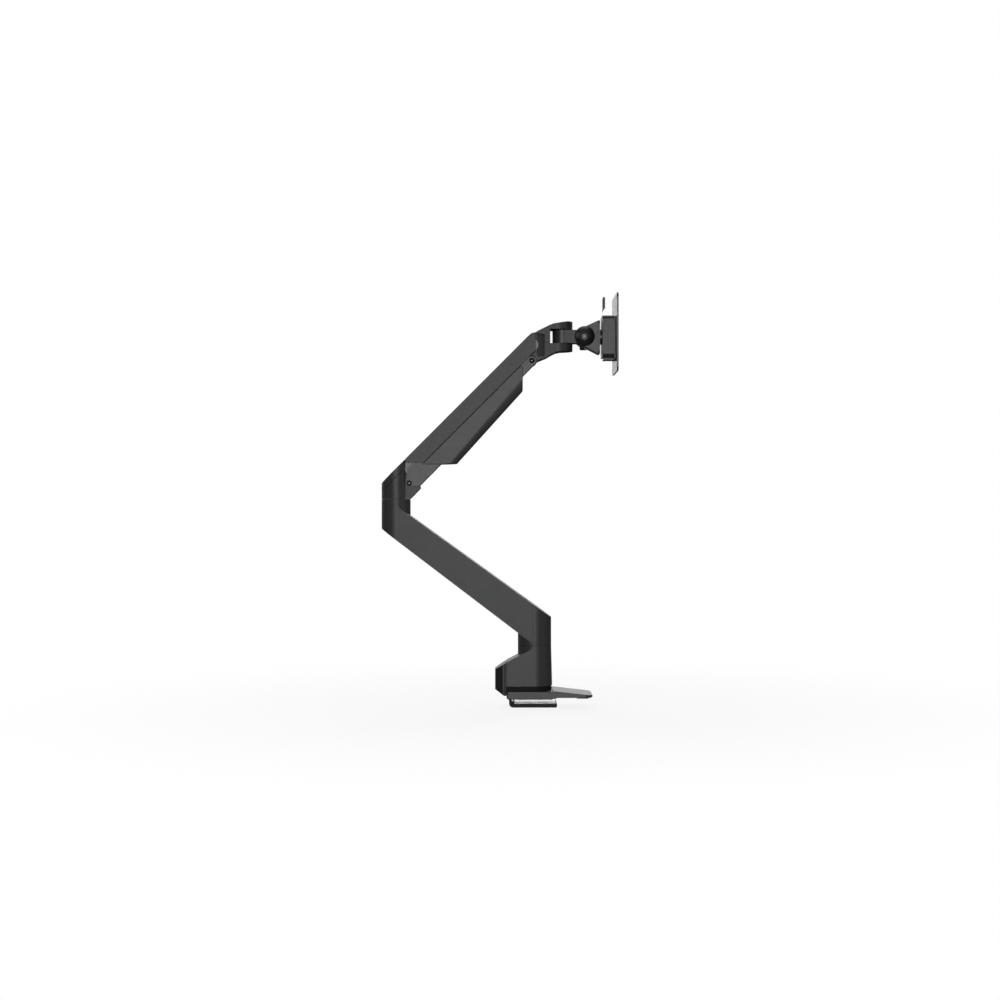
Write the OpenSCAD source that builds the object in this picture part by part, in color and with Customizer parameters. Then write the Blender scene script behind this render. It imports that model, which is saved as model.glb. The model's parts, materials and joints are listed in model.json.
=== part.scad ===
// Desk-clamp monitor arm with a gas-spring parallelogram, a fork swivel, a tilt
// head, a rotating quick-release box and a VESA plate.
// Origin: desk face under the foot, on the axis of the base column.
// +X is the way the display faces, +Z is up, and the part is symmetric about Y = 0.

/* [Base] */
// Radius of the base column at the swivel seam
column_r = 24.9; // [23:0.1:26]
// Height of the base swivel seam above the desk
seam_z = 79; // [76:0.5:84]
// Distance from the column axis to the rear face of the housing
housing_rear = 42; // [40:0.5:46]
// Distance from the column axis to the tip of the foot
foot_reach = 86; // [80:1:96]

/* [Clamp] */
// Gap between the desk face and the jaw when nearly closed
jaw_gap = 6.6; // [6:0.2:10]
// Thickness of the jaw plate
jaw_t = 5.6; // [4:0.2:6]
// Half of the jaw's width
jaw_half = 28; // [24:1:32]

/* [Lower arm] */
// Horizontal distance between the base axis and the elbow axis
lower_reach = 207.5; // [190:0.5:230]
// Radius of the elbow barrel
elbow_r = 21.7; // [20:0.1:22.5]
// Height of the elbow seam above the desk
elbow_z = 297; // [290:1:305]

/* [Upper arm] */
// Distance between the two upper pivots
arm_len = 258.5; // [240:0.5:280]
// Angle of the arm above the horizontal at rest
arm_angle = 45; // [30:1:45]
// Distance from each upper pivot down to its lower pivot
pivot_drop = 24; // [22:0.5:26]
// Half of the casing's width
casing_half = 23; // [22.5:0.1:25]

/* [Head] */
// Distance from the front pivot to the swivel axis
swivel_reach = 45.2; // [44:0.2:48]
// Distance from the swivel axis to the tilt axis
tilt_reach = 33.7; // [32:0.1:36]
// Side of the square VESA plate
vesa_side = 116; // [112:1:120]
// Radius of the VESA screw holes
vesa_hole_r = 2.5; // [2.3:0.1:3]

/* [Hidden] */
$fn = 96;

gap = 0.4;
run_fit = 0.06;
skin = 3;

// Arm directions and pivot points, each as [x, z]
along = [cos(arm_angle), sin(arm_angle)];
pivot_c = [-187, 345];
pivot_d = pivot_c + arm_len * along;
pivot_a = pivot_c - [0, pivot_drop];
pivot_b = pivot_d - [0, pivot_drop];
swivel_x = pivot_d[0] + swivel_reach;
tilt_axis = [swivel_x + tilt_reach, 540.4];

// Extrudes an XZ outline across Y from y0 to y1
module side(y0, y1) {
    translate([0, y1, 0])
        rotate([90, 0, 0])
            linear_extrude(height = y1 - y0)
                children();
}

// Extrudes an XZ outline across the full width, half on each side
module across(half) {
    side(-half, half) children();
}

// Extrudes an XZ outline as two equal walls, one on each side
module pair(y0, y1) {
    side(y0, y1) children();
    side(-y1, -y0) children();
}

// Round bar along Y, centred on a point [x, z]
module y_bar(p, r, half) {
    translate([p[0], half, p[1]])
        rotate([90, 0, 0])
            cylinder(h = 2 * half, r = r);
}

// Round bar along Y from y0 to y1, on both sides
module y_bar_pair(p, r, y0, y1) {
    for (s = [-1, 1])
        translate([p[0], s > 0 ? y1 : -y0, p[1]])
            rotate([90, 0, 0])
                cylinder(h = y1 - y0, r = r);
}

// Round bar along X from x0 to x1
module x_bar(x0, x1, z, r) {
    translate([x0, 0, z])
        rotate([0, 90, 0])
            cylinder(h = x1 - x0, r = r);
}

// Round bar along Z from z0 to z1
module z_bar(x, z0, z1, r) {
    translate([x, 0, z0])
        cylinder(h = z1 - z0, r = r);
}

// Ring along Z
module z_ring(x, z0, z1, r_in, r_out) {
    difference() {
        z_bar(x, z0, z1, r_out);
        z_bar(x, z0 - 1, z1 + 1, r_in);
    }
}

// Box between two corners
module span(low, high) {
    translate(low)
        cube(high - low);
}

// Works in the upper arm's frame: X along the arm from the rear pivot, Z across it
module in_arm() {
    translate([pivot_c[0], 0, pivot_c[1]])
        rotate([0, -arm_angle, 0])
            children();
}

// ---------------------------------------------------------------- base
body_z = 18.8;
band_top = 18.8;
band_z = 11.5;
pad_t = 1.5;
toe_pad_t = 2.9;
foot_half = 36;
column_foot_r = 26.4;
band_r = 25.3;
slope_top = [-3.9, 74.4];
slope_rear = [-42, 54.7];
post_r = 10;
post_top = 114;
post_bore_r = 3.4;
spigot_r = 6;
spigot_z = 5;
screw_x = -20;
foot_screw_x = [-4, 14];
foot_screw_y = 17;
foot_screw_r = 2;
slot_front = -13;
slot_half_w = 21;
jaw_top = -jaw_gap;
jaw_leg_x = -38.2;
jaw_front_x = 33;
lug_z = [32, 44];
clamp_nut_r = 5.5;
clamp_screw_r = 4;
flange_r = 6.5;
flange_z = [50, 52.5];

// Puts its children at the four foot screws, at height z
module foot_screw_places(z) {
    for (x = foot_screw_x, s = [-1, 1])
        translate([x, s * foot_screw_y, z])
            children();
}

// Plan of the housing: column in front, flat sides, square rear
module housing_plan(r, half) {
    circle(r = r);
    translate([-housing_rear, -half])
        square([housing_rear, 2 * half]);
}

// Outer body of the housing, drafted a little towards the top, before the rear slope
module housing_block(inset) {
    hull() {
        translate([0, 0, body_z])
            linear_extrude(height = 0.1)
                housing_plan(column_foot_r - inset, column_foot_r - inset);
        translate([0, 0, seam_z - 0.1])
            linear_extrude(height = 0.1)
                housing_plan(column_r - inset, column_r - inset);
    }
}

// Keeps what lies under the sloping rear roof, lowered by drop
module under_roof(drop) {
    across(40)
        polygon([
            [-housing_rear - 1, 0],
            [40, 0],
            [40, seam_z + 1],
            [slope_top[0] + 1.5, seam_z + 1],
            slope_top - [0, drop],
            slope_rear - [1, drop + 0.5]
        ]);
}

module base_housing() {
    color("#3a3c40")
    difference() {
        union() {
            intersection() {
                housing_block(0);
                under_roof(0);
            }
            z_bar(0, slope_rear[1], seam_z, column_r);
        }
        intersection() {
            translate([0, 0, -skin])
                housing_block(skin + 0.5);
            under_roof(skin);
            span([-housing_rear + 2.5, -30, body_z - 4], [-13, 30, seam_z - 12]);
        }
        z_bar(0, body_z - 1, seam_z + 1, post_r + 0.02);
        z_bar(0, seam_z - 2, seam_z + 1, 19);
        z_bar(screw_x, 30, seam_z, 5);
        foot_screw_places(body_z - 1) cylinder(h = 9, r = foot_screw_r + 0.02);
    }
}

// Recessed black band between the housing and the foot
module base_spacer() {
    color("#141416")
    difference() {
        translate([0, 0, band_z])
            linear_extrude(height = band_top - band_z)
                housing_plan(band_r, band_r);
        z_bar(0, 0, 30, post_r + 0.02);
        span([-housing_rear - 1, -slot_half_w, 5], [slot_front, slot_half_w, 25]);
        foot_screw_places(5) cylinder(h = 20, r = foot_screw_r + 0.1);
    }
}

// Side outline of the foot plate: relieved under the toe, sloping to a rounded nose
module foot_profile() {
    rim_x = 27;
    rim_z = 13;
    nose_z = 6.8;
    polygon([
        [-housing_rear, pad_t],
        [rim_x + 4, pad_t],
        [rim_x + 5.5, toe_pad_t],
        [foot_reach - 3, toe_pad_t],
        [foot_reach - 0.8, toe_pad_t + 1],
        [foot_reach, toe_pad_t + 2.2],
        [foot_reach - 0.8, nose_z - 0.5],
        [foot_reach - 3.4, nose_z],
        [rim_x + 1, rim_z],
        [rim_x - 0.4, rim_z],
        [rim_x - 0.8, band_z],
        [-housing_rear, band_z]
    ]);
}

// Plan of the foot plate, with rounded corners
module foot_plan() {
    rear_corner = 2.5;
    nose_corner = 12;
    hull()
        for (s = [-1, 1]) {
            translate([-housing_rear + rear_corner, s * (foot_half - rear_corner)])
                circle(r = rear_corner);
            translate([foot_reach - nose_corner, s * (foot_half - nose_corner)])
                circle(r = nose_corner);
        }
}

module foot_plate() {
    color("#43454a")
    difference() {
        intersection() {
            across(40) foot_profile();
            linear_extrude(height = 20) foot_plan();
        }
        span([-housing_rear - 1, -slot_half_w, -1], [slot_front, slot_half_w, 20]);
        z_bar(0, -1, 20, spigot_r + 0.05);
        z_bar(0, -1, spigot_z, 9.5);
        foot_screw_places(-1) {
            cylinder(h = 20, r = foot_screw_r + 0.1);
            cylinder(h = spigot_z + 1, r = 4);
        }
    }
}

// Rubber pads under the foot: a U round the clamp slot, and one under the toe
module foot_pads() {
    color("#1c1c1e") {
        difference() {
            span([-40, -32, 0], [26, 32, pad_t]);
            span([-41, -22.5, -1], [-13, 22.5, pad_t + 1]);
            z_bar(0, -1, pad_t + 1, 10.2);
            foot_screw_places(-1) cylinder(h = 5, r = 4.5);
        }
        span([63, -18.6, 0], [80, 18.6, toe_pad_t]);
    }
}

// Half-height dark cover at the rear, with chamfered corners
module rear_cover() {
    rear_x = -59;
    rim_x = -48;
    groove_x = -44.6;
    cover_half = 24.8;
    groove_half = 22.9;
    face_half = 15;
    color("#1b1b1f")
    difference() {
        intersection() {
            across(40)
                polygon([
                    [-housing_rear - 0.1, 4.6],
                    [-45.6, 4.6],
                    [rear_x, 13.9],
                    [rear_x, 43.8],
                    [-housing_rear - 0.1, 54.4]
                ]);
            linear_extrude(height = 60)
                polygon([
                    [-housing_rear - 0.1, -groove_half],
                    [groove_x, -groove_half],
                    [groove_x, -cover_half],
                    [rim_x, -cover_half],
                    [rear_x, -face_half],
                    [rear_x, face_half],
                    [rim_x, cover_half],
                    [groove_x, cover_half],
                    [groove_x, groove_half],
                    [-housing_rear - 0.1, groove_half]
                ]);
        }
        intersection() {
            across(21)
                polygon([
                    [-40, 8],
                    [-46, 8],
                    [rear_x + skin, 15.5],
                    [rear_x + skin, 42],
                    [-44.5, 51],
                    [-40, 51]
                ]);
            linear_extrude(height = 60)
                polygon([
                    [-40, -21],
                    [-48.5, -21],
                    [rear_x + skin, -13],
                    [rear_x + skin, 13],
                    [-48.5, 21],
                    [-40, 21]
                ]);
        }
    }
}

// Steel post that the lower arm turns on, held to the foot by a screw from below
module base_post() {
    color("#8c9096") {
        difference() {
            union() {
                z_bar(0, band_z, post_top, post_r);
                z_bar(0, spigot_z, band_z, spigot_r);
            }
            z_bar(0, spigot_z - 1, 30, post_bore_r);
            z_ring(0, post_top - 4, post_top - 2.6, post_r - 1, post_r + 1);
        }
    }
}

// Four screws from under the foot into the housing, and the post screw
module base_screws() {
    head_z = 2.2;
    post_head_z = 1.8;
    color("#6f7379") {
        foot_screw_places(0)
            difference() {
                union() {
                    translate([0, 0, spigot_z]) cylinder(h = 20, r = foot_screw_r);
                    translate([0, 0, head_z]) cylinder(h = spigot_z - head_z, r = 3.6);
                }
                translate([0, 0, head_z - 0.2]) cylinder(h = 2, r = 1.7, $fn = 6);
            }
        difference() {
            union() {
                z_bar(0, spigot_z, 28, post_bore_r - 0.05);
                z_bar(0, post_head_z, spigot_z, 8);
            }
            translate([0, 0, post_head_z - 0.8]) cylinder(h = 3, r = 3, $fn = 6);
        }
    }
}

// Friction washer between the housing and the lower arm
module base_washer() {
    color("#d8d6cc") z_ring(0, seam_z - 2, seam_z + gap - 0.05, post_r + 0.3, 18.9);
}

// Split ring that holds the lower arm down on the post
module post_ring() {
    color("#7c8087")
    difference() {
        z_ring(0, post_top - 3.9, post_top - 2.7, post_r - 1, post_r + 3);
        span([0, -3, post_top - 5], [20, 3, post_top]);
    }
}

// J-shaped steel jaw: a plate under the desk with a leg that slides in the base
module clamp_jaw() {
    leg_t = 4;
    leg_half = 19;
    bend = 6;
    low = jaw_top - jaw_t;
    color("#33353a")
    difference() {
        union() {
            across(jaw_half)
                polygon([
                    [jaw_leg_x + bend, low],
                    [jaw_front_x - 1.5, low],
                    [jaw_front_x, low + 1.5],
                    [jaw_front_x, jaw_top - 1],
                    [jaw_front_x - 1, jaw_top],
                    [jaw_leg_x + bend, jaw_top]
                ]);
            intersection() {
                translate([jaw_leg_x + bend, jaw_half, low + bend])
                    rotate([90, 0, 0])
                        difference() {
                            cylinder(h = 2 * jaw_half, r = bend);
                            translate([0, 0, -1])
                                cylinder(h = 2 * jaw_half + 2, r = bend - leg_t);
                        }
                span([-60, -leg_half - 9, low], [jaw_leg_x + bend, leg_half + 9, low + bend]);
            }
            span([jaw_leg_x, -leg_half, low + bend], [jaw_leg_x + leg_t, leg_half, lug_z[1]]);
            span([jaw_leg_x + leg_t, -9, lug_z[0]], [screw_x + 6, 9, lug_z[1]]);
        }
        z_bar(screw_x, 20, 60, clamp_nut_r);
    }
}

// Threaded bush pressed in the jaw's lug
module clamp_nut() {
    color("#b08d4a") z_ring(screw_x, lug_z[0], lug_z[1], clamp_screw_r + run_fit, clamp_nut_r);
}

// Rubber pad on top of the jaw
module jaw_pad() {
    color("#c9cacc")
        span([-30, -jaw_half + 3, jaw_top], [31, jaw_half - 3, jaw_top + 1.2]);
}

// Clamp screw that turns in the base and raises the jaw
module clamp_screw() {
    color("#9a9ea4")
    difference() {
        union() {
            z_bar(screw_x, 1.5, 57, clamp_screw_r);
            z_bar(screw_x, flange_z[0], flange_z[1], flange_r);
        }
        translate([screw_x, 0, flange_z[1] - 0.5]) cylinder(h = 6, r = 2.9, $fn = 6);
    }
}

// Collar plates in the housing that hold the screw's flange
module screw_collar() {
    color("#55585e")
    difference() {
        span([screw_x - 9, -21, 47], [screw_x + 6.5, 21, 55.5]);
        z_bar(screw_x, 40, 60, clamp_screw_r + run_fit);
        z_bar(screw_x, flange_z[0] - 0.1, flange_z[1] + 0.1, flange_r + 0.1);
    }
}

// ---------------------------------------------------------------- lower arm
arm_z0 = seam_z + gap;
top_slope = -0.7207;
under_slope = -0.7594;
top_at_axis = 138.8;
under_at_axis = 79.4;
elbow_x = -lower_reach;
elbow_post_r = 8;
elbow_post_z = 264;
elbow_bush_r = 10.5;
washer_r = 20.4;
elbow_post_top = 314;
cap_screw_r = 2.5;
base_bush_r = 13;
cavity_x = [-185, -27];
cavity_half = 17.5;

function top_z(x) = top_at_axis + top_slope * x;
function under_z(x) = under_at_axis + under_slope * x;

// Side outline of the lower arm, between x0 and x1, pulled in by inset
module lower_profile(x0, x1, inset) {
    polygon([
        [x0, under_z(x0) + inset],
        [x1, under_z(x1) + inset],
        [x1, top_z(x1) - inset],
        [x0, top_z(x0) - inset]
    ]);
}

// Plan of the lower arm, tapering from the base barrel to the elbow barrel
module lower_plan(inset) {
    hull() {
        circle(r = column_r - inset);
        translate([elbow_x, 0]) circle(r = elbow_r - inset);
    }
}

module lower_arm() {
    wall = 4;
    front = 23.4;
    color("#3c3e42")
    difference() {
        union() {
            intersection() {
                linear_extrude(height = elbow_z) lower_plan(0.04);
                across(30) lower_profile(elbow_x - elbow_r, -3.9, 0);
            }
            intersection() {
                z_bar(0, arm_z0, 200, column_r);
                across(30)
                    polygon([
                        [-30, 0],
                        [30, 0],
                        [30, 119],
                        [front, top_z(front)],
                        [-30, top_z(-30)]
                    ]);
            }
            intersection() {
                z_bar(elbow_x, 200, elbow_z, elbow_r);
                across(30)
                    polygon([
                        [elbow_x - 30, under_z(elbow_x - 30)],
                        [elbow_x + 30, under_z(elbow_x + 30)],
                        [elbow_x + 30, 400],
                        [elbow_x - 30, 400]
                    ]);
            }
        }
        intersection() {
            across(cavity_half)
                polygon([
                    [cavity_x[0], under_z(cavity_x[0]) - 5],
                    [cavity_x[1], under_z(cavity_x[1]) - 5],
                    [cavity_x[1], top_z(cavity_x[1]) - wall],
                    [cavity_x[0], top_z(cavity_x[0]) - wall]
                ]);
            linear_extrude(height = 400) lower_plan(wall);
        }
        z_bar(0, 70, post_top - 5, base_bush_r);
        z_bar(0, post_top - 5.05, post_top + 2, 15);
        z_bar(elbow_x, elbow_post_z, 400, elbow_post_r);
        z_bar(elbow_x, elbow_z - 2, 400, washer_r);
    }
}

// Cable cover that closes the underside of the lower arm
module lower_arm_cover() {
    x0 = cavity_x[0] + 0.5;
    x1 = cavity_x[1] - 0.5;
    color("#2a2b2e")
    intersection() {
        across(cavity_half - 0.2)
            polygon([
                [x0, under_z(x0)],
                [x1, under_z(x1)],
                [x1, under_z(x1) + skin],
                [x0, under_z(x0) + skin]
            ]);
        linear_extrude(height = 400) lower_plan(4.2);
    }
}

// Two plain bushes in the lower arm that run on the base post
module base_bushings() {
    color("#cfc8a8")
        for (z = [arm_z0 + 0.5, post_top - 19])
            z_ring(0, z, z + 13, post_r + run_fit, base_bush_r);
}

// Steel post pressed in the elbow barrel, which the yoke turns on
module elbow_post() {
    color("#8c9096")
    difference() {
        z_bar(elbow_x, elbow_post_z, elbow_post_top, elbow_post_r);
        z_bar(elbow_x, elbow_post_top - 14, elbow_post_top + 1, cap_screw_r);
    }
}

// Friction washer at the elbow seam
module elbow_washer() {
    color("#d8d6cc")
        z_ring(elbow_x, elbow_z - 2, elbow_z + gap - 0.05, elbow_post_r + 0.3, washer_r - 0.1);
}

// Screw and plate that keep the yoke on the elbow post
module post_cap() {
    color("#6f7379")
    difference() {
        union() {
            z_bar(elbow_x, elbow_post_top, elbow_post_top + 2, 10.4);
            z_bar(elbow_x, elbow_post_top - 12, elbow_post_top, cap_screw_r - 0.05);
            z_bar(elbow_x, elbow_post_top + 2, elbow_post_top + 5, 4.4);
        }
        translate([elbow_x, 0, elbow_post_top + 3])
            cylinder(h = 4, r = 2.3, $fn = 6);
    }
}

// ---------------------------------------------------------------- elbow yoke
yoke_z0 = elbow_z + gap;
yoke_face_x = -193;
ear_a_half = 14.6;
ear_c_half = 10.8;
slot_half = 7.6;
slot_floor = 325.9;
pin_r = 4;
spring_drop = 11.5;
spring_e = pivot_c - [0, spring_drop];
yoke_top = pivot_c[1] + 205;
cap_t = 13.6;
ear_sweep = 10.3;
spring_pin_r = 2;
front_pin_r = 3;
rod_r = 4;
socket_x = 9;
tension_x = -197.2;
tension_screw_r = 3.2;

// Barrel of the yoke, cut flat on the side that faces the upper arm
module yoke_barrel(z0, z1) {
    intersection() {
        z_bar(elbow_x, z0, z1, elbow_r);
        span([elbow_x - 30, -30, z0], [yoke_face_x, 30, z1]);
    }
}

// Half plane under the 45 degree roof, lowered by drop
module roof_limit(drop) {
    across(30)
        polygon([
            [-240, 280],
            [-150, 280],
            [-150, yoke_top - 150 - drop],
            [-240, yoke_top - 240 - drop]
        ]);
}

module elbow_yoke() {
    color("#3c3e42")
    difference() {
        union() {
            intersection() {
                yoke_barrel(yoke_z0, 380);
                roof_limit(cap_t);
            }
            across(ear_a_half)
                polygon([
                    [elbow_x, yoke_z0],
                    [-186.2, yoke_z0],
                    [-180.4, 303.1],
                    [-171, 312.9],
                    [-171, 316.4],
                    [-173, 319.5],
                    [-180, 326.8],
                    [-184, 329],
                    [-197, 331],
                    [yoke_face_x - 10, 331]
                ]);
            difference() {
                across(ear_c_half)
                    polygon([
                        [yoke_face_x - 4, 320],
                        [-179.5, 320],
                        [-178, 345],
                        [-187, 345],
                        [-195.5, 340]
                    ]);
                span([yoke_face_x - 10, -slot_half, slot_floor], [-160, slot_half, 352]);
            }
            difference() {
                y_bar(pivot_c, 9, ear_c_half);
                span([yoke_face_x - 3, -slot_half, slot_floor], [-160, slot_half, 360]);
            }
        }
        span([-200, -slot_half, slot_floor], [-160, slot_half, 341.6]);
        z_bar(tension_x, slot_floor, 350, tension_screw_r + 0.3);
        across(slot_half)
            polygon([
                [-184.8, slot_floor],
                [-165, 313],
                [-165, 341],
                [-184.8, 341]
            ]);
        z_bar(elbow_x, yoke_z0 - 1, elbow_post_top - 0.4, elbow_bush_r);
        z_bar(elbow_x, elbow_post_top - 0.5, elbow_post_top + 8, 12);
        y_bar(pivot_a, pin_r + run_fit, 30);
        y_bar(pivot_c, pin_r + run_fit, 30);
        ear_pockets();
    }
}

// Room in the barrel for the ends of the upper channel
module ear_pockets() {
    pair(ear_c_half, ear_a_half + 0.1)
        translate(pivot_c)
            circle(r = ear_sweep);
}

// Sloping cap on top of the yoke
module yoke_cap() {
    color("#3a3c40")
    difference() {
        intersection() {
            yoke_barrel(yoke_z0, 380);
            roof_limit(0);
        }
        roof_limit(cap_t - 0.8);
        z_bar(tension_x, 300, 380, tension_screw_r + 0.8);
        y_bar(pivot_c, ear_sweep, ear_a_half + 0.1);
    }
}

// Bush in the yoke that runs on the elbow post
module elbow_bushing() {
    color("#cfc8a8")
        z_ring(elbow_x, yoke_z0 + 0.5, elbow_post_top - 0.6, elbow_post_r + run_fit, elbow_bush_r);
}

// Block that carries the rear pin of the gas spring in the yoke's slot
module tension_block() {
    color("#9a9ea4")
    difference() {
        union() {
            span([-199.8, -slot_half + 0.1, slot_floor + 0.1], [-183, slot_half - 0.1, 336]);
            span([-193.5, -slot_half + 0.1, slot_floor + 0.1], [-183, slot_half - 0.1, 340]);
        }
        span([-193.4, -5, slot_floor], [-182, 5, 341]);
        y_bar(spring_e, spring_pin_r + 0.01, 10);
        z_bar(tension_x, 320, 345, tension_screw_r + 0.01);
    }
}

// Hex socket screw for the spring's tension, reached through the cap
module tension_screw() {
    color("#b9bdc2")
    difference() {
        z_bar(tension_x, 328, 346.5, tension_screw_r);
        translate([tension_x, 0, 342]) cylinder(h = 6, r = 2, $fn = 6);
    }
}

// Rear pin of the gas spring
module spring_pin_rear() {
    color("#8c9096") y_bar(spring_e, spring_pin_r, slot_half - 0.2);
}

// ---------------------------------------------------------------- upper arm
wall_in = 11.3;
wall_out = 14.3;
cheek_in = 15;
cheek_out = 19.5;
screw_recess_r = 4.6;
shell_in = 20;
channel_half = 9.8;
casing_top = 12.73;
seam_v = -10.25;
casing_low_z = 352.3;
spring_f = [205, -3];
eye_u = -spring_drop * sin(arm_angle);
eye_v = -spring_drop * (1 + cos(arm_angle)) / 2 - 0.13;
strut_tilt = atan2(spring_f[1] - eye_v, spring_f[0] - eye_u);

// Distances from the eye's centre along the gas spring
module along_spring() {
    in_arm()
        translate([eye_u, 0, eye_v])
            rotate([0, -strut_tilt, 0])
                children();
}

// Pins at both upper pivots
module arm_pins() {
    color("#8c9096") {
        y_bar(pivot_c, pin_r, wall_out + 0.3);
        y_bar(pivot_d, pin_r, wall_out + 0.3);
    }
}

// Pins at both lower pivots, with a hex socket in each end
module link_pins() {
    color("#8c9096")
        for (p = [pivot_a, pivot_b])
            difference() {
                y_bar(p, pin_r, cheek_out - 1.6);
                y_bar(p, 1.6, cheek_out);
            }
}

// Button screws with domed heads in the ends of the link pins
module link_screws() {
    head_r = 2.9;
    head_h = 1.4;
    dome_r = (head_r * head_r + head_h * head_h) / (2 * head_h);
    color("#2c2d30")
        for (p = [pivot_a, pivot_b], s = [0, 1])
            mirror([0, s, 0])
                translate([p[0], cheek_out - 1.6, p[1]])
                    rotate([-90, 0, 0])
                        difference() {
                            union() {
                                intersection() {
                                    cylinder(h = head_h, r = head_r);
                                    translate([0, 0, head_h - dome_r]) sphere(r = dome_r);
                                }
                                translate([0, 0, -6.4]) cylinder(h = 6.6, r = 1.59);
                            }
                            translate([0, 0, 0.6]) cylinder(h = 2, r = 0.9, $fn = 6);
                        }
}

// Inner steel channel: two walls with pivot ears, joined by a web on top
module upper_channel() {
    web_gap = 15;
    color("#4a4c50")
    difference() {
        in_arm() {
            pair(wall_in, wall_out) {
                circle(r = channel_half);
                translate([arm_len, 0]) circle(r = channel_half);
                translate([0, -channel_half]) square([arm_len, 2 * channel_half]);
            }
            across(wall_out)
                translate([web_gap, channel_half - skin])
                    square([arm_len - 2 * web_gap, skin]);
        }
        y_bar(pivot_c, pin_r + 0.01, 30);
        y_bar(pivot_d, pin_r + 0.01, 30);
        in_arm() y_bar(spring_f, front_pin_r + 0.01, 30);
    }
}

// Outline of the casing's side: horizontal cut at the elbow, chamfered at the head
module casing_side() {
    head_x = 1;
    polygon([
        [yoke_face_x + gap, casing_low_z],
        [yoke_face_x + gap, yoke_face_x + gap + yoke_top],
        [-10.4, yoke_top - 10.4],
        [-5.2, 544.3],
        [head_x - 0.6, 545.6],
        [head_x, 545],
        [head_x, pivot_c[1] - pivot_c[0] - 14.5 + head_x],
        [casing_low_z - yoke_top + 32.5, casing_low_z]
    ]);
}

module upper_casing() {
    web_end = 240;
    color("#3c3e42") {
        pair(shell_in, casing_half) casing_side();
        intersection() {
            across(shell_in + 1) casing_side();
            in_arm()
                across(40)
                    translate([-20, channel_half])
                        square([web_end + 20, 10]);
        }
    }
}

// Front pin of the gas spring, through the channel's walls
module spring_pin_front() {
    color("#8c9096") in_arm() y_bar(spring_f, front_pin_r, wall_out);
}

module gas_cylinder() {
    body_start = 78;
    body_end = 196;
    color("#1f2023")
        difference() {
            along_spring() {
                x_bar(body_start, body_end, 0, 9);
                x_bar(body_end, body_end + 23, 0, 5);
            }
            along_spring() x_bar(body_start - 1, body_start + 60, 0, rod_r + run_fit);
            in_arm() y_bar(spring_f, front_pin_r + 0.01, 30);
        }
}

module gas_rod() {
    rod_end = 118;
    color("#d0d3d7") along_spring() x_bar(socket_x, rod_end, 0, rod_r);
}

// Eye on the end of the rod, larger than its pin by the play it needs
module rod_eye() {
    eye_r = 5.3;
    play = 1.95;
    color("#6f7379")
        along_spring()
            difference() {
                union() {
                    y_bar([0, 0], eye_r, 4.6);
                    x_bar(3, 16, 0, 4.6);
                }
                y_bar([0, 0], spring_pin_r + play, 10);
                x_bar(socket_x, 20, 0, rod_r + 0.01);
            }
}

// Side outline of the lower link's cheek
module link_side() {
    a = pivot_a;
    b = pivot_b;
    polygon([
        [a[0] + 4.3, 351],
        [a[0] - 2.6, 343.1],
        [a[0] - 3.6, 325],
        [a[0] - 4.2, 321.5],
        a,
        [a[0] + 0.1, a[1] - 4.4],
        [a[0] + 15, 317.1],
        [-141.3, 348.2],
        [-18.7, 480.4],
        [b[0] + 4.3, b[1] - 4.3],
        b,
        [b[0] - 4.4, b[1] + 4.4],
        [-24, 503.5],
        [-32, 497.2],
        [-174.3, 354.9]
    ]);
    translate(a) circle(r = 4.5);
    translate(b) circle(r = 6.1);
}

// U-shaped lower link of the parallelogram
module lower_link() {
    web_t = 2.6;
    color("#3f4145")
    difference() {
        union() {
            pair(cheek_in, cheek_out) link_side();
            across(cheek_in + 1)
                polygon([
                    [-156, 333.3],
                    [-141.3, 348.2],
                    [-34, 463.9],
                    [-34 - web_t, 463.9 + web_t],
                    [-141.3 - web_t, 348.2 + web_t],
                    [-156 - web_t, 333.3 + web_t]
                ]);
        }
        for (p = [pivot_a, pivot_b]) {
            y_bar(p, pin_r + 0.01, 30);
            y_bar_pair(p, screw_recess_r, cheek_out - 1.4, cheek_out + 1);
        }
    }
}

// Section of the link cover at one end: flat sides, then rounded to the belly
module cover_section(u, top, side_low, belly, half) {
    corner = min(side_low - belly, half) * 0.98;
    translate([u, 0, 0])
        rotate([90, 0, 90])
            linear_extrude(height = 0.1)
                hull() {
                    translate([-half, side_low]) square([2 * half, top - side_low]);
                    for (s = [-1, 1])
                        translate([s * (half - corner), belly + corner])
                            circle(r = corner, $fn = 32);
                }
}

// Keeps what lies above the elbow-end cut and behind the head-end cut
module cover_ends(drop) {
    across(40)
        polygon([
            [-175, 349.2 - drop],
            [-140, 349.2 - drop],
            [-116.6, 350 - drop],
            [-17.8 + drop, 459.2],
            [-17.8 + drop, 520],
            [-60, 520]
        ]);
}

// Cable cover clipped round the lower link
module link_cover() {
    cover_half = 22;
    cover_t = 2.3;
    color("#4b4d52")
    difference() {
        intersection() {
            in_arm()
                hull() {
                    cover_section(2, seam_v - 0.4, -40.8, -48.7, cover_half);
                    cover_section(225, seam_v - 0.4, -23.4, -37.8, cover_half);
                }
            cover_ends(0);
        }
        in_arm()
            hull() {
                cover_section(-20, seam_v + 4, -41.2, -49.8 + cover_t, cheek_out + 0.2);
                cover_section(247, seam_v + 4, -21.7, -36.7 + cover_t, cheek_out + 0.2);
            }
    }
}

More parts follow.
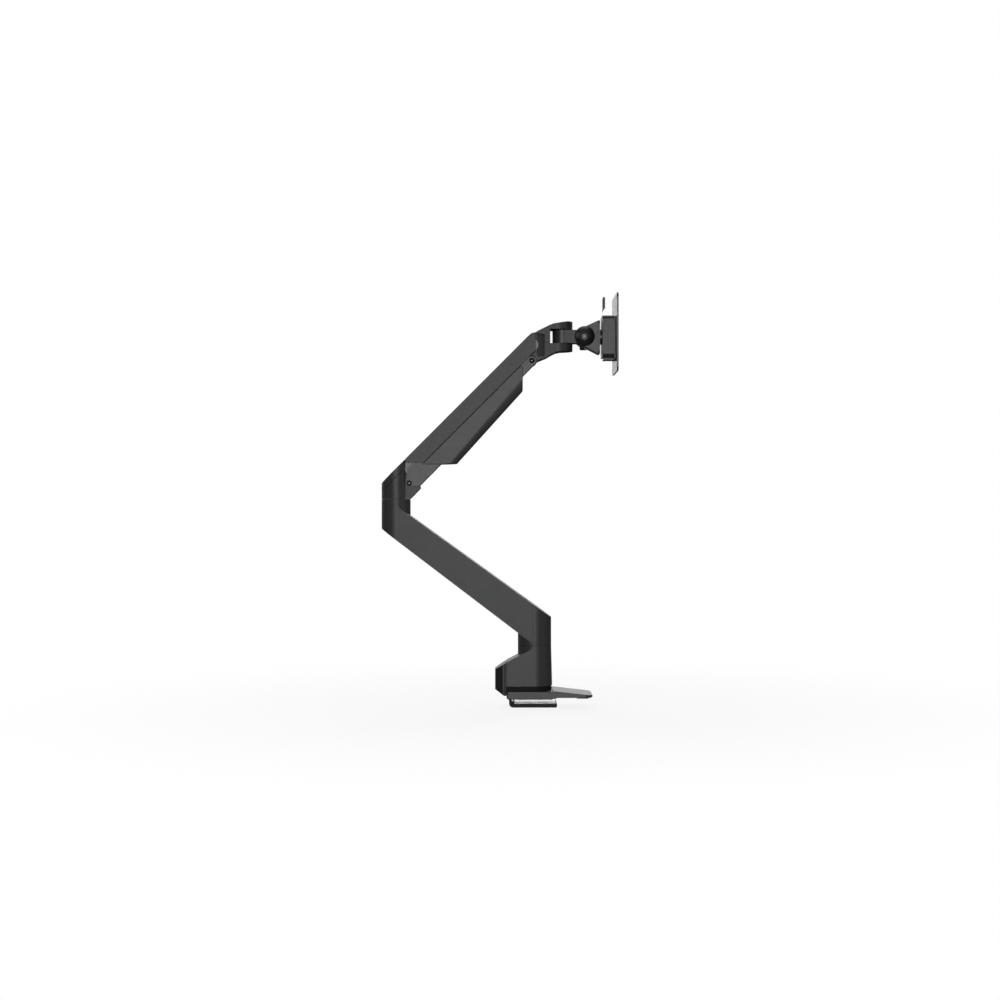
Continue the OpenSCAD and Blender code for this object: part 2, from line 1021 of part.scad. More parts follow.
// ---------------------------------------------------------------- head
fork_r = 22;
fork_x = 35;
fork_low = 529.5;
fork_high = 551;
slot_x = 23;
swivel_r = 5;
shaft_r = 6;
knuckle_r = 14.2;
knuckle_half = 12.2;
knuckle_low = 530.3;
knuckle_high = 550.2;
sweep_r = 18.4;
recess_x = 14.8;
recess_floor = 16.6;
cheek_gap = 13.3;
tilt_cheek = 16.8;
tilt_r = 13.5;
tilt_plate_x = 94.3;
tilt_plate_t = 3;
box_x = 100.6;
box_front = 118.3;
box_half = 25;
box_low = 509;
box_high = 571;
plate_x = 120;
plate_t = 2.5;
vesa_z = 544;
latch_x = 102.7;
rivet_y = [-18, 18];
rivet_z = [520, 566];
rivet_r = 2;

// Side outline of the head bracket
module bracket_side() {
    polygon([
        [2.5, 546.8],
        [21.3, 556.2],
        [28.2, 559],
        [50, 562.6],
        [57, 562.6],
        [57, 518.4],
        [38.5, 518.2],
        [31.6, 516.8],
        [25.6, 514],
        [17, 509],
        [6, 504.6],
        [2.5, 502.8]
    ]);
}

// Plan of the head bracket: a little narrower towards its round front
module bracket_plan() {
    taper_x = fork_x + 3;
    taper_half = fork_r - 0.4;
    translate([fork_x, 0]) circle(r = fork_r);
    polygon([
        [0, casing_half],
        [12, casing_half],
        [taper_x, taper_half],
        [taper_x, -taper_half],
        [12, -casing_half],
        [0, -casing_half]
    ]);
}

// Shield behind the casing's end, clear of the channel and the link
module bracket_visor() {
    polygon([[-3, 537.5], [3, 537.5], [3, 547], [0, 545.4], [-3, 543.8]]);
}

// Small plate between the casing's lower corner and the link's front screw
module bracket_tab() {
    polygon([[3, 518.2], [-3.5, 511.7], [-1, 509.6], [3, 505.5]]);
}

// Recess in each side, clear of the casing's end, with a floor that slopes inwards
module bracket_recess() {
    out = 30;
    intersection() {
        across(out) {
            translate(pivot_d) circle(r = sweep_r);
            polygon([
                [4.4, 509.5],
                [13.5, 509.5],
                [recess_x, 512],
                [recess_x, 542.5],
                [4.4, 544.5]
            ]);
        }
        for (s = [0, 1])
            mirror([0, s, 0])
                linear_extrude(height = 700)
                    polygon([
                        [-30, shell_in - 0.4],
                        [3, shell_in - 0.4],
                        [recess_x + 1, recess_floor],
                        [recess_x + 1, out],
                        [-30, out]
                    ]);
    }
}

module head_bracket() {
    lobe = 7;
    tongue_r = 8.9;
    far = 30;
    color("#3c3e42") {
        pair(shell_in - 0.4, casing_half) bracket_tab();
        difference() {
            union() {
                intersection() {
                    across(far) bracket_side();
                    linear_extrude(height = 600) bracket_plan();
                }
                across(ear_c_half)
                    polygon([
                        pivot_d + [0, tongue_r],
                        [14, 540],
                        [14, 508],
                        pivot_b + [-4, 4],
                        pivot_d - [tongue_r - 1, 5]
                    ]);
                y_bar(pivot_d, tongue_r, ear_c_half);
                pair(ear_a_half + 0.2, shell_in - 0.4) bracket_visor();
                across(ear_a_half)
                    polygon([
                        pivot_b + [1, lobe - 0.2],
                        [8, 511],
                        [8, 508],
                        pivot_b + [4.9, -4.9]
                    ]);
                y_bar(pivot_b, lobe, ear_a_half);
            }
            pair(ear_c_half + 0.2, far) translate(pivot_d) circle(r = channel_half + 0.6);
            bracket_recess();
            pair(ear_a_half + 0.2, far) translate(pivot_b) circle(r = lobe - 0.4);
            span([slot_x, -30, fork_low], [80, 30, fork_high]);
            z_bar(swivel_x, 500, 555.5, swivel_r + run_fit);
            z_bar(swivel_x, 555, 570, 8.2);
            z_bar(swivel_x, 500, 524.5, 8.2);
            y_bar(pivot_d, pin_r + run_fit, 30);
            y_bar(pivot_b, pin_r + run_fit, 30);
        }
    }
}

// Vertical bolt and nut of the head swivel
module swivel_bolt() {
    color("#8c9096")
    difference() {
        union() {
            z_bar(swivel_x, 523, 556, swivel_r);
            z_bar(swivel_x, 555.6, 560.5, 8);
            translate([swivel_x, 0, 521.4]) cylinder(h = 3, r = 7.8, $fn = 6);
        }
        translate([swivel_x, 0, 557]) cylinder(h = 5, r = 3.2, $fn = 6);
    }
}

// Friction washers above and below the knuckle
module swivel_washers() {
    color("#cfc8a8") {
        z_ring(swivel_x, fork_low + 0.05, knuckle_low - 0.05, swivel_r + 0.2, 12.5);
        z_ring(swivel_x, knuckle_high + 0.05, fork_high - 0.05, swivel_r + 0.2, 12.5);
    }
}

// Block between the vertical swivel and the horizontal tilt axis
module knuckle() {
    eye_r = 10.4;
    eye_x = tilt_axis[0] - eye_r - 0.2;
    neck_x = tilt_axis[0] - 6;
    shoulder = [swivel_x + 1.2, knuckle_r - 0.09];
    color("#44464b")
    difference() {
        union() {
            z_bar(swivel_x, knuckle_low, knuckle_high, knuckle_r);
            translate([0, 0, knuckle_low])
                linear_extrude(height = knuckle_high - knuckle_low)
                    polygon([
                        shoulder,
                        [eye_x, knuckle_half],
                        [neck_x, knuckle_half],
                        [neck_x, -knuckle_half],
                        [eye_x, -knuckle_half],
                        [shoulder[0], -shoulder[1]]
                    ]);
            y_bar(tilt_axis, eye_r, knuckle_half);
        }
        z_bar(swivel_x, 500, 580, swivel_r + run_fit);
        y_bar(tilt_axis, pin_r + run_fit, 20);
    }
}

// Bolt of the tilt joint
module tilt_bolt() {
    color("#8c9096") y_bar(tilt_axis, pin_r, tilt_cheek + 3);
}

// Friction washers between the knuckle and the tilt bracket
module tilt_washers() {
    color("#cfc8a8")
    difference() {
        y_bar_pair(tilt_axis, 10, knuckle_half + 0.05, cheek_gap - 0.05);
        y_bar(tilt_axis, pin_r + 0.2, 20);
    }
}

// Tilt bracket: two triangular cheeks and the plate that carries the shaft
module tilt_bracket() {
    plate_low = 514.4;
    plate_high = 564.1;
    color("#43454a")
    difference() {
        union() {
            pair(cheek_gap, tilt_cheek) {
                polygon([
                    tilt_axis + [-13, 8.2],
                    [tilt_plate_x + 1, plate_high],
                    [tilt_plate_x + 1, plate_low],
                    tilt_axis + tilt_r * [cos(242), sin(242)]
                ]);
                translate(tilt_axis) circle(r = tilt_r);
            }
            intersection() {
                span([tilt_plate_x, -20, plate_low], [tilt_plate_x + tilt_plate_t, 20, plate_high]);
                union() {
                    span([0, -20, plate_low + 5], [200, 20, plate_high - 5]);
                    span([0, -15, plate_low], [200, 15, plate_high]);
                    for (y = [-15, 15], z = [plate_low + 5, plate_high - 5])
                        translate([0, y, z]) rotate([0, 90, 0]) cylinder(h = 200, r = 5);
                }
            }
        }
        y_bar(tilt_axis, pin_r + 0.01, 30);
        x_bar(80, 110, tilt_axis[1], shaft_r + 0.01);
    }
}

// Domed caps over the ends of the tilt bolt
module tilt_caps() {
    cap_r = 15;
    cap_h = 6.6;
    dome_r = (cap_r * cap_r + cap_h * cap_h) / (2 * cap_h);
    color("#1a1a1c")
        for (s = [0, 1])
            mirror([0, s, 0])
                translate([tilt_axis[0], tilt_cheek + 0.05, tilt_axis[1]])
                    rotate([-90, 0, 0])
                        difference() {
                            intersection() {
                                cylinder(h = cap_h, r = cap_r);
                                translate([0, 0, cap_h - dome_r]) sphere(r = dome_r);
                            }
                            translate([0, 0, -1]) cylinder(h = 4.2, r = pin_r + 0.05);
                        }
}

// Small stop lug under the tilt bracket's cheeks
module tilt_stop() {
    color("#141416")
        pair(cheek_gap + 0.2, tilt_cheek - 0.2)
            polygon([
                [tilt_axis[0] - 6.5, 523.2],
                [tilt_axis[0] - 5, 521.8],
                [tilt_axis[0] + 5, 521.8],
                [tilt_axis[0] - 4.8, 527.2],
                [tilt_axis[0] - 6.5, 526.6]
            ]);
}

// Shaft that the head box rotates on, with its friction flange
module rotation_shaft() {
    color("#17171a") {
        x_bar(tilt_plate_x - 4, tilt_plate_x, tilt_axis[1], 8);
        x_bar(tilt_plate_x, tilt_plate_x + tilt_plate_t, tilt_axis[1], shaft_r);
        x_bar(tilt_plate_x + tilt_plate_t, box_x - 0.1, tilt_axis[1], 11.6);
        x_bar(box_x - 0.1, box_front - 3, tilt_axis[1], shaft_r);
    }
}

// Wave washer between the box's wall and the nut
module box_washer() {
    color("#b9bdc2")
    difference() {
        x_bar(box_x + 4.1, box_x + 5.6, tilt_axis[1], 11);
        x_bar(box_x, box_front, tilt_axis[1], shaft_r + 0.1);
    }
}

// Lock nut inside the head box
module rotation_nut() {
    color("#8c9096")
    difference() {
        translate([box_x + 5.7, 0, tilt_axis[1]])
            rotate([0, 90, 0])
                cylinder(h = 7, r = 10.5, $fn = 6);
        x_bar(box_x, box_front, tilt_axis[1], shaft_r + 0.01);
    }
}

// Square of the given half width with rounded corners, as a bar along X
module x_block(x0, x1, z0, z1, half, corner) {
    span([x0, -half + corner, z0], [x1, half - corner, z1]);
    span([x0, -half, z0 + corner], [x1, half, z1 - corner]);
    for (y = [-half + corner, half - corner], z = [z0 + corner, z1 - corner])
        translate([x0, y, z])
            rotate([0, 90, 0])
                cylinder(h = x1 - x0, r = corner);
}

module head_box() {
    wall = 4;
    color("#44464b")
    difference() {
        x_block(box_x, box_front, box_low, box_high, box_half, 6);
        x_block(box_x + wall, box_front + 1, box_low + wall, box_high - wall, box_half - wall, 2);
        x_bar(box_x - 1, box_x + wall + 1, tilt_axis[1], shaft_r + run_fit);
        span([latch_x - 0.3, -8.3, 556], [latch_x + 2.1, 8.3, box_high + 1]);
    }
}

// Carrier behind the VESA plate, hooked over the head box, with a lip below it
module carrier_plate() {
    lip_low = 505.3;
    color("#2c2d30")
    difference() {
        union() {
            x_block(box_front, plate_x, lip_low, box_high - 1, 21, 2);
            span([102.5, -16, lip_low], [box_front + 0.1, 16, lip_low + 1.9]);
        }
        for (y = rivet_y, z = rivet_z)
            translate([box_front - 1, y, z])
                rotate([0, 90, 0])
                    cylinder(h = 5, r = rivet_r + 0.01);
    }
}

// Rivets between the carrier and the VESA plate
module carrier_rivets() {
    color("#b9bdc2")
        for (y = rivet_y, z = rivet_z)
            translate([box_front, y, z])
                rotate([0, 90, 0])
                    cylinder(h = plate_x + plate_t - box_front, r = rivet_r);
}

// Square plate with the 75 mm and 100 mm screw patterns
module vesa_plate() {
    side_half = vesa_side / 2;
    color("#303135")
    difference() {
        x_block(plate_x, plate_x + plate_t, vesa_z - side_half, vesa_z + side_half, side_half, 8);
        for (half = [37.5, 50], y = [-half, half], z = [-half, half])
            translate([plate_x - 1, y, vesa_z + z])
                rotate([0, 90, 0])
                    cylinder(h = plate_t + 2, r = vesa_hole_r);
        for (y = rivet_y, z = rivet_z)
            translate([plate_x - 1, y, z])
                rotate([0, 90, 0])
                    cylinder(h = plate_t + 2, r = rivet_r + 0.01);
    }
}

// Steel strip of the quick release, which slides up out of the head box
module latch_strip() {
    color("#c4c7cb") {
        span([latch_x, -8, 557], [latch_x + 1.8, 8, 597.5]);
        span([latch_x, -8, 557], [latch_x + 9, 8, 558.8]);
    }
}

// Grip moulded over the top of the strip
module latch_grip() {
    color("#161618")
    difference() {
        across(10)
            polygon([
                [latch_x - 0.6, 578],
                [latch_x + 2.6, 583],
                [latch_x + 2.6, 598.6],
                [latch_x + 2, 599.4],
                [latch_x, 599.4],
                [latch_x - 0.6, 598.6]
            ]);
        span([latch_x - 0.01, -8.01, 560], [latch_x + 1.81, 8.01, 597.51]);
    }
}

// Compression spring between the strip's foot and the roof of the box
module latch_spring() {
    color("#b9bdc2") z_ring(latch_x + 5.8, 558.85, box_high - 4.05, 1.8, 2.6);
}

base_housing();
base_spacer();
foot_plate();
foot_pads();
rear_cover();
base_post();
base_screws();
base_washer();
post_ring();
clamp_jaw();
jaw_pad();
clamp_nut();
clamp_screw();
screw_collar();
lower_arm();
lower_arm_cover();
base_bushings();
elbow_post();
elbow_washer();
post_cap();
elbow_yoke();
yoke_cap();
elbow_bushing();
tension_block();
tension_screw();
spring_pin_rear();
arm_pins();
link_pins();
upper_channel();
upper_casing();
spring_pin_front();
gas_cylinder();
gas_rod();
rod_eye();
lower_link();
link_cover();
link_screws();
head_bracket();
swivel_bolt();
swivel_washers();
knuckle();
tilt_bolt();
tilt_washers();
tilt_bracket();
tilt_caps();
tilt_stop();
rotation_shaft();
rotation_nut();
head_box();
box_washer();
carrier_plate();
carrier_rivets();
vesa_plate();
latch_strip();
latch_grip();
latch_spring();
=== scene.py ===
"""Looks of the desk-clamp monitor arm: finished skins on the CAD frame, studio light and camera."""

import math

import bmesh
import bpy
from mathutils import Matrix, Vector
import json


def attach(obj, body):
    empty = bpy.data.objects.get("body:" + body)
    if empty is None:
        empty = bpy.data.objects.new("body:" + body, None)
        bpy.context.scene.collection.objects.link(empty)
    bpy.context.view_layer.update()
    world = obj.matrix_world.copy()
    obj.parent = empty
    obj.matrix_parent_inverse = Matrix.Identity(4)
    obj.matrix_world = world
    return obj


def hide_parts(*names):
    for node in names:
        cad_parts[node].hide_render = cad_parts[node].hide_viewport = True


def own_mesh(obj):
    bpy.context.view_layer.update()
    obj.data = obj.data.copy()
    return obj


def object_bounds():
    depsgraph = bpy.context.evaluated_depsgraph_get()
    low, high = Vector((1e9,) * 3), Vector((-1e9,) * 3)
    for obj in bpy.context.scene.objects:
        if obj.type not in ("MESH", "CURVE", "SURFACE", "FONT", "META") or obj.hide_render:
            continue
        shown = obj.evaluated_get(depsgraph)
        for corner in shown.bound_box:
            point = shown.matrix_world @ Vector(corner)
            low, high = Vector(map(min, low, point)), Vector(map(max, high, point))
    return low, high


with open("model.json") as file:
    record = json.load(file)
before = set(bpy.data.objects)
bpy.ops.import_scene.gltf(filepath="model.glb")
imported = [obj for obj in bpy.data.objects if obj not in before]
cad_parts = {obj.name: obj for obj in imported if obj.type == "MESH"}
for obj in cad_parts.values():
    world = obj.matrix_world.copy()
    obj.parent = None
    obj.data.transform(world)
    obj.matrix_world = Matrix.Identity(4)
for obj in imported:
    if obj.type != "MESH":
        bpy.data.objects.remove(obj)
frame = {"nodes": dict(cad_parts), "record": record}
cad_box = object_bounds()

MM = 0.001


# ---------------------------------------------------------------- node helpers
# The noise values between which a tone or a roughness runs from its low end to its high end.
TONE_BAND = (0.35, 0.65)
GLOSS_BAND = (0.3, 0.7)


def new_material(name):
    """A new node material: returns it with its node tree and Principled shader."""
    mat = bpy.data.materials.new(name)
    mat.use_nodes = True
    tree = mat.node_tree
    return mat, tree, tree.nodes["Principled BSDF"]


def object_coords(tree):
    return tree.nodes.new("ShaderNodeTexCoord").outputs["Object"]


def noise(tree, scale, detail, rough=0.55, coords=None):
    """Noise in object space; scale is in cells per metre."""
    node = tree.nodes.new("ShaderNodeTexNoise")
    node.inputs["Scale"].default_value = scale
    node.inputs["Detail"].default_value = detail
    node.inputs["Roughness"].default_value = rough
    if coords is None:
        coords = object_coords(tree)
    tree.links.new(coords, node.inputs["Vector"])
    return node.outputs["Fac"]


def map_range(tree, value, source, target, style="LINEAR"):
    """Maps the range source to the range target, and holds it at both ends."""
    node = tree.nodes.new("ShaderNodeMapRange")
    node.interpolation_type = style
    for label, limit in zip(("From Min", "From Max", "To Min", "To Max"), (*source, *target)):
        node.inputs[label].default_value = limit
    tree.links.new(value, node.inputs["Value"])
    return node.outputs["Result"]


def mottled(tree, value, tone, darkest, lightest):
    """A tone times a factor, which runs from darkest to lightest with a noise value."""
    node = tree.nodes.new("ShaderNodeValToRGB")
    for stop, place, factor in zip(node.color_ramp.elements, TONE_BAND, (darkest, lightest)):
        stop.position = place
        stop.color = (*(channel * factor for channel in tone), 1)
    tree.links.new(value, node.inputs["Fac"])
    return node.outputs["Color"]


def bump(tree, height, strength, distance, below=None):
    """A bump whose height comes from a value, laid over another normal if given."""
    node = tree.nodes.new("ShaderNodeBump")
    node.inputs["Strength"].default_value = strength
    node.inputs["Distance"].default_value = distance
    tree.links.new(height, node.inputs["Height"])
    if below is not None:
        tree.links.new(below, node.inputs["Normal"])
    return node.outputs["Normal"]


def link_surface(tree, bsdf, colour, roughness, normal):
    """Links the three textured inputs of a shader."""
    tree.links.new(colour, bsdf.inputs["Base Color"])
    tree.links.new(roughness, bsdf.inputs["Roughness"])
    tree.links.new(normal, bsdf.inputs["Normal"])


# ---------------------------------------------------------------- finishes
def powder_coat(name, tone, rough, grain=2600, depth=0.03):
    """Fine-textured powder coat: tiny orange peel, faint mottling in tone and gloss."""
    mat, tree, bsdf = new_material(name)
    clouds = noise(tree, scale=60, detail=4)
    peel = noise(tree, scale=grain, detail=2)
    wave = noise(tree, scale=grain / 6, detail=2)
    wavy = bump(tree, wave, strength=depth * 0.6, distance=0.3 * MM)
    link_surface(
        tree,
        bsdf,
        colour=mottled(tree, clouds, tone, darkest=0.93, lightest=1.07),
        roughness=map_range(tree, peel, GLOSS_BAND, (rough - 0.05, rough + 0.06)),
        normal=bump(tree, peel, strength=depth, distance=0.12 * MM, below=wavy),
    )
    return mat


def moulded(name, tone, rough, depth=0.06, level=0.45):
    """Moulded plastic with a fine spark-eroded grain."""
    mat, tree, bsdf = new_material(name)
    clouds = noise(tree, scale=35, detail=3)
    grain = noise(tree, scale=4200, detail=3, rough=0.7)
    link_surface(
        tree,
        bsdf,
        colour=mottled(tree, clouds, tone, darkest=0.92, lightest=1.1),
        roughness=map_range(tree, grain, GLOSS_BAND, (rough - 0.04, rough + 0.08)),
        normal=bump(tree, grain, strength=depth, distance=0.08 * MM),
    )
    bsdf.inputs["Specular IOR Level"].default_value = level
    return mat


def brushed(name, tone, rough=0.3, depth=0.04):
    """Bare metal with fine brush lines along Z."""
    mat, tree, bsdf = new_material(name)
    line_stretch = 12
    mapping = tree.nodes.new("ShaderNodeMapping")
    mapping.inputs["Scale"].default_value = (1, 1, 1 / line_stretch)
    tree.links.new(object_coords(tree), mapping.inputs["Vector"])
    clouds = noise(tree, scale=90, detail=3)
    lines = noise(tree, scale=3500, detail=4, rough=0.6, coords=mapping.outputs["Vector"])
    link_surface(
        tree,
        bsdf,
        colour=mottled(tree, clouds, tone, darkest=0.9, lightest=1.05),
        roughness=map_range(tree, lines, GLOSS_BAND, (rough - 0.08, rough + 0.1)),
        normal=bump(tree, lines, strength=depth, distance=0.05 * MM),
    )
    bsdf.inputs["Metallic"].default_value = 1.0
    return mat


def rubber(name, tone):
    """Matte rubber with a soft pebbled skin."""
    mat, tree, bsdf = new_material(name)
    dust = noise(tree, scale=120, detail=5, rough=0.7)
    pebble = noise(tree, scale=1500, detail=2)
    link_surface(
        tree,
        bsdf,
        colour=mottled(tree, dust, tone, darkest=1, lightest=1.5),
        roughness=map_range(tree, pebble, GLOSS_BAND, (0.72, 0.9)),
        normal=bump(tree, pebble, strength=0.12, distance=0.15 * MM),
    )
    bsdf.inputs["Specular IOR Level"].default_value = 0.3
    return mat


# One material for each slot of the record.
MATERIALS = {
    "satin_black": powder_coat("satin_powder_coat", (0.029, 0.030, 0.032), rough=0.45),
    "dark_cast": powder_coat("cast_powder_coat", (0.036, 0.037, 0.040), rough=0.38),
    "cover_plastic": moulded("cover_plastic", (0.062, 0.063, 0.066), rough=0.42),
    "black_plastic": moulded("black_plastic", (0.010, 0.010, 0.011), rough=0.42),
    "gloss_cap": moulded("gloss_cap", (0.010, 0.010, 0.011), rough=0.32, depth=0.02, level=0.9),
    "rubber": rubber("rubber", (0.012, 0.012, 0.013)),
    # Flat near-black, partly the parts' own black and partly painted shade: it darkens the link
    # pins, so the ring round the link screws reads as shade in a gap, and the band above the foot,
    # where the gap lies in shade.
    "matte_black": moulded("flat_black_and_painted_gap_shade", (0.005, 0.005, 0.006), rough=0.6, level=0.2),
    "grey_pad": moulded("grey_pad", (0.85, 0.85, 0.86), rough=0.16, level=0.6),
    "dark_polymer": moulded("dark_polymer", (0.012, 0.012, 0.013), rough=0.4),
    "steel": brushed("plated_steel", (0.55, 0.56, 0.58)),
    "black_steel": powder_coat("black_sheet_steel", (0.024, 0.024, 0.026), rough=0.27, grain=3800),
    "polymer": moulded("bearing_polymer", (0.60, 0.56, 0.44), rough=0.45),
    "bronze": brushed("bronze", (0.55, 0.40, 0.18)),
    "spring_body": powder_coat("spring_tube_paint", (0.020, 0.020, 0.022), rough=0.25, depth=0.01),
    "chrome": brushed("hard_chrome", (0.75, 0.76, 0.78), rough=0.12, depth=0.01),
}
# Nodes with a finish of their own.
FINISHES = {
    "clamp_jaw": moulded("blackened_jaw", (0.008, 0.008, 0.009), rough=0.5, level=0.25),
    "link_screws": brushed("dark_screw_steel", (0.16, 0.165, 0.175)),
}
NODE_SLOT = {part["node"]: part["material_slot"] for part in frame["record"]["subparts"]}
NODE_BODY = {
    node: body
    for body, members in frame["record"]["behaviour"]["bodies"].items()
    for node in members
}


def finish(node):
    """A node's own finish, or the one of its slot."""
    return FINISHES.get(node, MATERIALS[NODE_SLOT[node]])


# ---------------------------------------------------------------- skins
# Edge rounding of the nodes that get a finished skin, in mm.
BEVELS = {
    "base_housing": 0.9, "foot_plate": 0.8, "rear_cover": 0.9, "clamp_jaw": 0.7,
    "lower_arm": 0.8, "elbow_yoke": 0.9, "yoke_cap": 0.6, "upper_casing": 1.7,
    "lower_link": 1.1, "link_cover": 1.2, "head_bracket": 1.4, "knuckle": 0.8,
    "tilt_bracket": 0.7, "head_box": 1.6, "carrier_plate": 0.4, "vesa_plate": 0.5,
    "latch_grip": 0.5, "latch_spring": 0.0,
}
BEVEL_SEGMENTS = 3
EDGE_ANGLE = math.radians(28)  # edges that turn by more than this are rounded
FLAT_ANGLE = math.radians(0.5)  # faces that differ by less than this are merged
WELD_DISTANCE = 0.002 * MM
LARGE_FACE_WEIGHT = 80  # above 50, large faces have more say in the normals


def add_to_scene(obj):
    bpy.context.scene.collection.objects.link(obj)


def cleaned_mesh(source, name):
    """A smooth-shaded copy of a mesh, welded and with its flats merged."""
    mesh = bpy.data.meshes.new(name)
    bm = bmesh.new()
    bm.from_mesh(source)
    bmesh.ops.remove_doubles(bm, verts=bm.verts, dist=WELD_DISTANCE)
    bmesh.ops.dissolve_limit(
        bm,
        angle_limit=FLAT_ANGLE,
        verts=bm.verts,
        edges=bm.edges,
        use_dissolve_boundaries=False,
        delimit={"NORMAL"},
    )
    bm.normal_update()
    bm.to_mesh(mesh)
    bm.free()
    for face in mesh.polygons:
        face.use_smooth = True
    return mesh


def finished_skin(node, bevel):
    """A copy of a CAD node with clean flats and rounded edges, which stands in for it."""
    mesh = cleaned_mesh(frame["nodes"][node].data, node + "_skin")
    piece = bpy.data.objects.new(node + "_skin", mesh)
    add_to_scene(piece)
    if bevel > 0:
        edge = piece.modifiers.new("edges", "BEVEL")
        edge.width = bevel * MM
        edge.segments = BEVEL_SEGMENTS
        edge.limit_method = "ANGLE"
        edge.angle_limit = EDGE_ANGLE
        edge.use_clamp_overlap = True
    normals = piece.modifiers.new("normals", "WEIGHTED_NORMAL")
    normals.keep_sharp = True
    normals.weight = LARGE_FACE_WEIGHT
    mesh.materials.append(finish(node))
    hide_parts(node)
    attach(piece, NODE_BODY[node])
    return piece


def dress_all():
    """Gives every node its skin or its finish; returns the skins by node."""
    skins = {}
    for name, obj in frame["nodes"].items():
        if name in BEVELS:
            skins[name] = finished_skin(name, BEVELS[name])
            continue
        obj.data.materials.clear()
        obj.data.materials.append(finish(name))
    return skins


def press_latch_spring(spring):
    """Gives the latch spring skin a mesh of its own; the springs are not moved."""
    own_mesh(spring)


# ---------------------------------------------------------------- studio
ARM_MIDDLE = (-0.05, 0, 0.3)  # every lamp points here
CAMERA_PLACE = (-0.05175, -2.7, 0.296)
CAMERA_LENS = 64.8
SENSOR_WIDTH = 36

# Each lamp: place, size and watts.
LAMPS = {
    "key": ((-0.12, -3.6, 0.45), (1.3, 2.0), 45),
    "top": ((-0.05, 0.3, 3.0), (2.0, 2.0), 14),
    "left_rear": ((-2.3, 2.6, 1.7), (1.8, 1.8), 46),
    "right_rear": ((1.5, 3.2, 2.0), (1.8, 1.8), 34),
    "right_front": ((2.8, -1.4, 1.2), (1.6, 1.6), 12),
    "left_front": ((-2.8, -1.4, 1.2), (1.6, 1.6), 6),
    "rear": ((-0.2, 2.2, 2.8), (1.6, 1.4), 16),
}

ROOM_LIGHT = 0.12
BACKDROP_LIGHT = 1.8
BACKDROP_WAY = Vector((-0.02, 1, 0.18)).normalized()
# Cosines off that way, between which room light turns to backdrop light.
BACKDROP_EDGE = (math.cos(math.radians(13)), math.cos(math.radians(7)))
# Z of a direction, between which the little light from below turns to full light.
HORIZON_FADE = (-0.35, 0.0)
LIGHT_FROM_BELOW = 0.05

FLOOR_HALF = 4
FLOOR_GAP = 0.5 * MM
FLOOR_TONE = 0.9
FLOOR_ROUGHNESS = 0.9
FLOOR_ALPHA = 0.14
FLOOR_FADE = (0.15, 0.9)  # metres from the middle, between which the floor fades away


def make_camera():
    """Side view, level with the middle of the arm."""
    data = bpy.data.cameras.new("camera")
    data.sensor_width = SENSOR_WIDTH
    data.lens = CAMERA_LENS
    camera = bpy.data.objects.new("camera", data)
    camera.location = CAMERA_PLACE
    camera.rotation_euler = (math.radians(90), 0, 0)
    add_to_scene(camera)
    bpy.context.scene.camera = camera


def area_light(name, place, size, power):
    """A rectangular lamp that points at the middle of the arm."""
    data = bpy.data.lights.new(name, "AREA")
    data.shape = "RECTANGLE"
    data.size, data.size_y = size
    data.energy = power
    lamp = bpy.data.objects.new(name, data)
    lamp.location = place
    way = Vector(ARM_MIDDLE) - Vector(place)
    lamp.rotation_euler = way.to_track_quat("-Z", "Y").to_euler()
    add_to_scene(lamp)


def backdrop_strength(tree):
    """Light by direction: bright in a patch behind the arm, dim elsewhere, dimmer from below."""
    direction = tree.nodes.new("ShaderNodeTexCoord").outputs["Generated"]
    facing = tree.nodes.new("ShaderNodeVectorMath")
    facing.operation = "DOT_PRODUCT"
    facing.inputs[1].default_value = BACKDROP_WAY
    tree.links.new(direction, facing.inputs[0])
    levels = (ROOM_LIGHT, BACKDROP_LIGHT)
    patch = map_range(tree, facing.outputs["Value"], BACKDROP_EDGE, levels, "SMOOTHSTEP")
    parts = tree.nodes.new("ShaderNodeSeparateXYZ")
    tree.links.new(direction, parts.inputs[0])
    share = map_range(tree, parts.outputs["Z"], HORIZON_FADE, (LIGHT_FROM_BELOW, 1), "SMOOTHSTEP")
    product = tree.nodes.new("ShaderNodeMath")
    product.operation = "MULTIPLY"
    tree.links.new(patch, product.inputs[0])
    tree.links.new(share, product.inputs[1])
    return product.outputs[0]


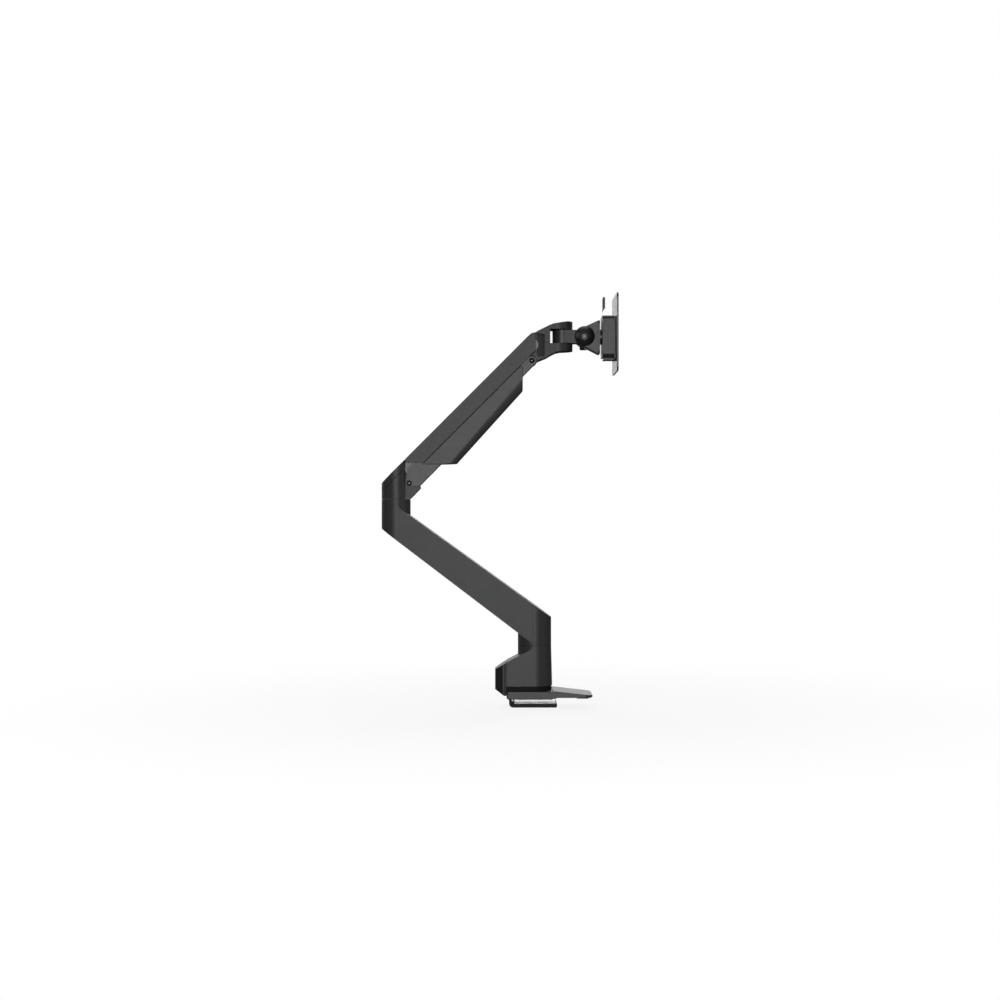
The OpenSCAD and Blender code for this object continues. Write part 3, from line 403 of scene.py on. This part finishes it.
def make_world():
    """Plain white to the camera, and the backdrop's light to everything else."""
    world = bpy.data.worlds.new("studio")
    world.use_nodes = True
    tree = world.node_tree
    tree.nodes.clear()
    light = tree.nodes.new("ShaderNodeBackground")
    tree.links.new(backdrop_strength(tree), light.inputs["Strength"])
    seen = tree.nodes.new("ShaderNodeBackground")
    seen.inputs["Strength"].default_value = 1.0
    choose = tree.nodes.new("ShaderNodeMixShader")
    rays = tree.nodes.new("ShaderNodeLightPath")
    tree.links.new(rays.outputs["Is Camera Ray"], choose.inputs[0])
    for index, shader in enumerate((light, seen), start=1):
        shader.inputs["Color"].default_value = (1, 1, 1, 1)
        tree.links.new(shader.outputs[0], choose.inputs[index])
    output = tree.nodes.new("ShaderNodeOutputWorld")
    tree.links.new(choose.outputs[0], output.inputs["Surface"])
    bpy.context.scene.world = world


def make_floor(z):
    """A faint pale floor just under the arm, which fades into the white round about."""
    mesh = bpy.data.meshes.new("floor")
    signs = ((-1, -1), (1, -1), (1, 1), (-1, 1))
    mesh.from_pydata([(x * FLOOR_HALF, y * FLOOR_HALF, z) for x, y in signs], [], [(0, 1, 2, 3)])
    floor = bpy.data.objects.new("floor", mesh)
    mat, tree, bsdf = new_material("floor")
    bsdf.inputs["Base Color"].default_value = (FLOOR_TONE, FLOOR_TONE, FLOOR_TONE, 1)
    bsdf.inputs["Roughness"].default_value = FLOOR_ROUGHNESS
    bsdf.inputs["Specular IOR Level"].default_value = 0.0
    away = tree.nodes.new("ShaderNodeVectorMath")
    away.operation = "LENGTH"
    tree.links.new(object_coords(tree), away.inputs[0])
    fade = map_range(tree, away.outputs["Value"], FLOOR_FADE, (FLOOR_ALPHA, 0), "SMOOTHSTEP")
    tree.links.new(fade, bsdf.inputs["Alpha"])
    mesh.materials.append(mat)
    add_to_scene(floor)


press_latch_spring(dress_all()["latch_spring"])

bpy.context.scene.view_settings.view_transform = "Standard"
make_camera()
make_world()
make_floor(cad_box[0][2] - FLOOR_GAP)
for lamp, facts in LAMPS.items():
    area_light(lamp, *facts)

bpy.context.view_layer.update()
